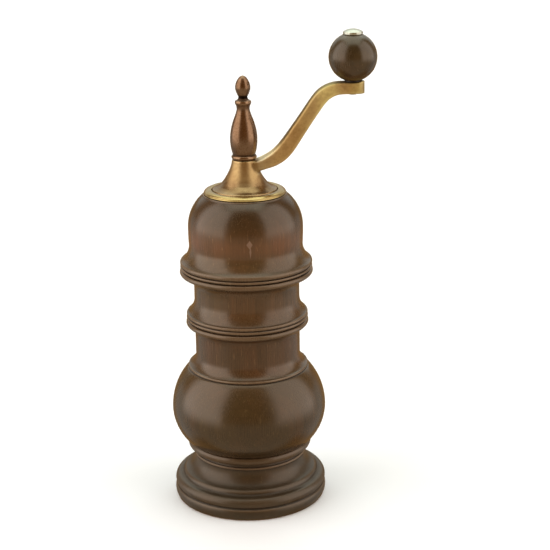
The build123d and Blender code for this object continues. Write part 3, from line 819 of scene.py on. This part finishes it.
def threaded_spindle():
    """The CAD spindle, with a real screw thread on its top end."""
    piece = copied("spindle", "threaded_spindle")
    low, high = THREAD_Z
    made = bmesh.new()
    made.from_mesh(piece.data)
    everything = made.verts[:] + made.edges[:] + made.faces[:]
    bmesh.ops.bisect_plane(made, geom=everything, dist=1e-7, plane_co=(0, 0, (low + 0.01) * MM),
                           plane_no=(0, 0, 1), clear_outer=True)
    open_edges = [edge for edge in made.edges if edge.is_boundary]
    bmesh.ops.holes_fill(made, edges=open_edges)
    count = int((high - low) / THREAD_PITCH * THREAD_STEPS)
    rings = []
    for i in range(count + 1):
        z = low + (high - low) * i / count
        runout = min(1.0, (z - low) / THREAD_PITCH)
        chamfer = max(0.0, THREAD_CHAMFER - (high - z))
        ring = []
        for j in range(THREAD_SIDES):
            turn = j / THREAD_SIDES
            phase = (z / THREAD_PITCH - turn) % 1.0
            groove = min(1.0, abs(2 * phase - 1) * THREAD_FLANK)
            r = min(THREAD_R - THREAD_DEPTH * groove * runout, THREAD_R - chamfer)
            angle = FULL_TURN * turn
            ring.append(made.verts.new((r * math.cos(angle) * MM, r * math.sin(angle) * MM, z * MM)))
        rings.append(ring)
    for below, above in zip(rings, rings[1:]):
        for j in range(THREAD_SIDES):
            k = (j + 1) % THREAD_SIDES
            made.faces.new((below[j], below[k], above[k], above[j]))
    made.faces.new(rings[0][::-1])
    made.faces.new(rings[-1])
    made.to_mesh(piece.data)
    made.free()
    bevel_sharp(piece, 0.12)
    return piece


def finial():
    low, high = node_span("finial_nut", 2)
    outline = drawn(
        (2.05, low),
        (5.2, low),
        (5.6, 159.9, 5.25, 160.7),
        (5.0, 161.0, 5.05, 161.4),
        [(5.55, 163.2), (5.98, 166.4), (5.95, 169.4), (5.35, 173.2), (4.35, 176.5), (3.3, 179.2),
         (2.85, 180.9)],
        (2.92, 182.0, 3.2, 183.0),
        (3.6, 184.0, 3.3, 184.9),
        (2.3, 185.5, 2.0, 186.6),
        [(2.7, 188.0), (3.3, 190.0), (3.2, 191.8), (2.45, 193.7), (1.3, 195.2), (0.0, high)])
    outline = np.concatenate([drawn((0, 174.0), (2.05, 174.0), (2.05, low)), outline[1:]])
    return lathe("finial_turning", outline, closed=False, segments=128, softening=0.08, finest=0.05)


# ------------------------------------------------------------------ crank casting
VOXEL = 0.24      # mm
ARM_CORNERS = ((0, 155.9), (13.3, 155.9), (36.3, 189.9), (53.9, 189.9))
ARM_CORNER_R = (22.0, 13.3)
ARM_HALF = 3.1            # mm, about half the arm's thickness
ARM_BULGE = 0.3           # mm, how much fuller the arm's sides are in the middle
ROOT_AT = (6.5, 0, 155.5)        # mm, where the arm leaves the bell
ROOT_REACH = (5.5, 6.5, 5.5)     # mm, how far the flow between them goes
HUB_TOP_Z = 158.4                # mm, above this the flat top of the hub stays flat
BORE_REACH = 4.6                 # mm, nearer the axis than this the long easing is left out
EASING_ROUNDS = 3
ROOT_ROUNDS = 60


def rounded_line(corners, radii):
    """Points along straight runs joined by tangent arcs."""
    corners = np.array(corners, float)
    steps = []
    for before, corner, after, radius in zip(corners, corners[1:], corners[2:], radii):
        back = (before - corner) / np.linalg.norm(before - corner)
        on = (after - corner) / np.linalg.norm(after - corner)
        half = math.acos(np.clip(back @ on, -1, 1)) / 2
        start, end = corner + back * radius / math.tan(half), corner + on * radius / math.tan(half)
        middle = (back + on) / np.linalg.norm(back + on)
        steps += [tuple(start), (*(corner + middle * (radius / math.sin(half) - radius)), *end)]
    return drawn(tuple(corners[0]), *steps, tuple(corners[-1]))


def off_line(points, line):
    """Distance of each point from a line of points."""
    from_line = np.empty(len(points))
    for i in range(0, len(points), 4096):
        block = points[i:i + 4096, None] - line[None]
        from_line[i:i + 4096] = np.sqrt((block ** 2).sum(2).min(1))
    return from_line


def crank():
    """Bell and arm as one casting, with the flow that a casting has where they meet."""
    piece = copied("crank_casting", "crank_arm_and_bell")
    remesh = piece.modifiers.new("remesh", "REMESH")
    remesh.mode = "VOXEL"
    remesh.voxel_size = VOXEL * MM
    remesh.use_smooth_shade = True
    apply_modifiers(piece)
    mesh = piece.data
    points, edges, degree = mesh_arrays(mesh)
    # where the arm leaves the bell the surface is eased a long way, elsewhere only a little
    far = np.linalg.norm((points - np.array(ROOT_AT)) / ROOT_REACH, axis=1)
    on_top = np.clip((points[:, 2] - HUB_TOP_Z) / 0.3, 0, 1)
    inside = np.hypot(points[:, 0], points[:, 1]) < BORE_REACH
    amount = np.clip(1.35 - far, 0, 1) * (1 - on_top) * ~inside
    for _ in range(EASING_ROUNDS):
        points += 0.5 * (neighbour_mean(points, edges, degree) - points)
    for _ in range(ROOT_ROUNDS):
        points += (0.5 * amount)[:, None] * (neighbour_mean(points, edges, degree) - points)
    away = off_line(points[:, [0, 2]], rounded_line(ARM_CORNERS, ARM_CORNER_R)[::8])
    flattened = ARM_BULGE * np.clip(away / ARM_HALF, 0, 1) ** 2 * np.clip((points[:, 0] - 9) / 4, 0, 1)
    points[:, 1] -= np.sign(points[:, 1]) * np.minimum(flattened, np.abs(points[:, 1]) * 0.5)
    mesh.vertices.foreach_set("co", (points * MM).ravel())
    mesh.update()
    shade_smooth(mesh)
    find_edges(mesh)
    return piece


# ------------------------------------------------------------------ floor and light
FLOOR_REACH = 6.0       # m
FLOOR_DROP = 0.00005    # m, keeps the floor clear of the foot
WINDOW_LIGHT = (2.45, 2.27, 2.10)
RIGHT_WINDOW = 0.78     # times the left one's light
TOP_LIGHT = (1.98, 2.12, 1.92)
WALL_LIGHT = (0.85, 0.85, 0.79)
TABLE_LIGHT = (0.62, 0.52, 0.38)
ROOM_LIGHT = (0.36, 0.20, 0.075)
SIDE_LIGHT = (0.50, 0.47, 0.42)


def staged(name, mesh, **seen_by):
    """Floor or backdrop. seen_by says which kinds of ray meet it."""
    made = bpy.data.objects.new(name, mesh)
    bpy.context.scene.collection.objects.link(made)
    for kind, seen in seen_by.items():
        setattr(made, "visible_" + kind, seen)
    return made


def make_floor():
    """Pale paper that the mill stands on. The mill's gloss and underside face the room instead."""
    made = bmesh.new()
    bmesh.ops.create_grid(made, x_segments=4, y_segments=4, size=FLOOR_REACH)
    mesh = bpy.data.meshes.new("floor")
    made.to_mesh(mesh)
    made.free()
    finish = Finish("floor_paper", roughness=0.9, Specular_IOR_Level=0.1)
    finish.set(Base_Color=finish.mix(finish.grain(0.02, 2), (0.86, 0.885, 0.95), (0.85, 0.875, 0.94)))
    mesh.materials.append(finish.material)
    staged("floor", mesh, glossy=False, diffuse=False).location.z = -FLOOR_DROP


def make_backdrop():
    """Pale surround, seen past the edge of the floor."""
    made = bmesh.new()
    bmesh.ops.create_icosphere(made, subdivisions=4, radius=FLOOR_REACH)
    mesh = bpy.data.meshes.new("backdrop")
    made.to_mesh(mesh)
    made.free()
    material = bpy.data.materials.new("backdrop")
    material.use_nodes = True
    nodes = Nodes(material.node_tree)
    glow = nodes.node("Emission", {"Color": (0.95, 0.95, 0.95)})
    nodes.node("OutputMaterial", {"Surface": glow.outputs[0]})
    mesh.materials.append(material)
    staged("backdrop", mesh, glossy=False, diffuse=False, shadow=False, transmission=False)


def make_lights():
    """Two tall side windows and an overhead one, in a dim warm room, with a pale table in front."""
    world = bpy.data.worlds.new("studio")
    bpy.context.scene.world = world
    world.use_nodes = True
    room = Nodes(world.node_tree)
    toward = room.node("SeparateXYZ", {"Vector": room.node("TexCoord").outputs["Generated"]})
    x, y, z = toward.outputs
    sideways = room.maths("ABSOLUTE", x)
    forward = room.maths("MULTIPLY", y, -1.0)
    turn = room.maths("DEGREES", room.maths("ARCTAN2", sideways, forward))  # 0 in front, 180 behind
    climb = room.maths("DEGREES", room.maths("ARCSINE", z))
    swing = room.maths("DEGREES", room.maths("ARCTAN2", z, y))              # 0 behind, 90 overhead
    lean = room.maths("DEGREES", room.maths("ARCSINE", sideways))

    def patch(*edges):
        """1 inside all the edges, each (angle, dark side, bright side) in degrees."""
        inside = 1.0
        for angle, dark, bright in edges:
            inside = room.maths("MULTIPLY", inside, room.span(angle, dark, bright, smooth=True))
        return inside

    windows = patch((turn, 36, 46), (turn, 120, 104), (climb, -21, -2), (climb, 62, 52))
    windows = room.maths("MULTIPLY", windows, room.span(x, -0.1, 0.1, 1.0, RIGHT_WINDOW))
    wall = patch((turn, 125, 150), (climb, 4, 12))
    top = patch((swing, 34, 44), (swing, 120, 104), (lean, 34, 22))
    table = patch((turn, 100, 70), (climb, -4, -12))
    sides = patch((turn, 60, 100), (turn, 152, 132), (climb, -50, -35), (climb, 10, -2))
    colour = room.mix(table, ROOM_LIGHT, TABLE_LIGHT)
    colour = room.mix(sides, colour, SIDE_LIGHT)
    colour = room.mix(wall, colour, WALL_LIGHT)
    colour = room.mix(windows, colour, WINDOW_LIGHT)
    colour = room.mix(top, colour, TOP_LIGHT)
    background = room.node("Background", {"Color": colour})
    room.node("OutputWorld", {"Surface": background.outputs[0]})
    bpy.context.scene.view_settings.view_transform = "Standard"


# ------------------------------------------------------------------ the object
RECORD = frame["record"]
BODY_OF = {node: body for body, nodes in RECORD["behaviour"]["bodies"].items() for node in nodes}
SLOT_OF = {part["node"]: part["material_slot"] for part in RECORD["subparts"]}
SHAPED = (
    # maker, CAD node that it stands for
    (turned_body, "mill_body"),
    (mouth_rim, "mouth_ring"),
    (crank, "crank_casting"),
    (turned_knob, "knob_ball"),
    (axle_with_cap, "knob_axle"),
    (knob_spacer, "knob_washer"),
    (finial_spacer, "finial_washer"),
    (finial, "finial_nut"),
    (threaded_spindle, "spindle"),
)
EASED = (
    # CAD node, width of its eased edges in mm
    ("top_bridge", 0.15), ("bridge_rivets", 0.12), ("drive_bush", 0.15), ("bush_clip", 0.12),
    ("burr_housing", 0.2), ("housing_screws", 0.1), ("spring_washer", 0.12),
    ("burr_washer", 0.12), ("burr_nut", 0.2), ("burr_bush", 0.15), ("burr_bridge", 0.25),
)


def finish_for(node, materials):
    """Material of a CAD node: its slot's, apart from the two kinds of wooden piece."""
    wooden = {"mill_body": "body_wood", "knob_ball": "knob_wood"}
    return materials[wooden.get(node, SLOT_OF[node])]


def dress(piece, node, materials):
    """Gives a new piece the material of the CAD node that it stands for, and hides that node."""
    piece.data.materials.clear()
    piece.data.materials.append(finish_for(node, materials))
    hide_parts(node)


def stand_in(piece, node, materials):
    """Puts a new piece in a CAD node's place."""
    dress(piece, node, materials)
    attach(piece, BODY_OF[node])


def fit_spring(materials):
    """Puts a copy of the CAD spring in its place, with the spring's material."""
    spring = coil_spring()
    dress(spring, "burr_spring", materials)
    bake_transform(spring)


def main():
    make_camera()
    make_floor()
    make_backdrop()
    make_lights()
    materials = make_materials()
    for maker, node in SHAPED:
        stand_in(maker(), node, materials)
    for node, width in EASED:
        stand_in(eased_copy(node, width), node, materials)
    fit_spring(materials)
    for name, node in NODES.items():
        if node.material_slots:
            node.material_slots[0].link = "OBJECT"
            node.material_slots[0].material = finish_for(name, materials)


main()
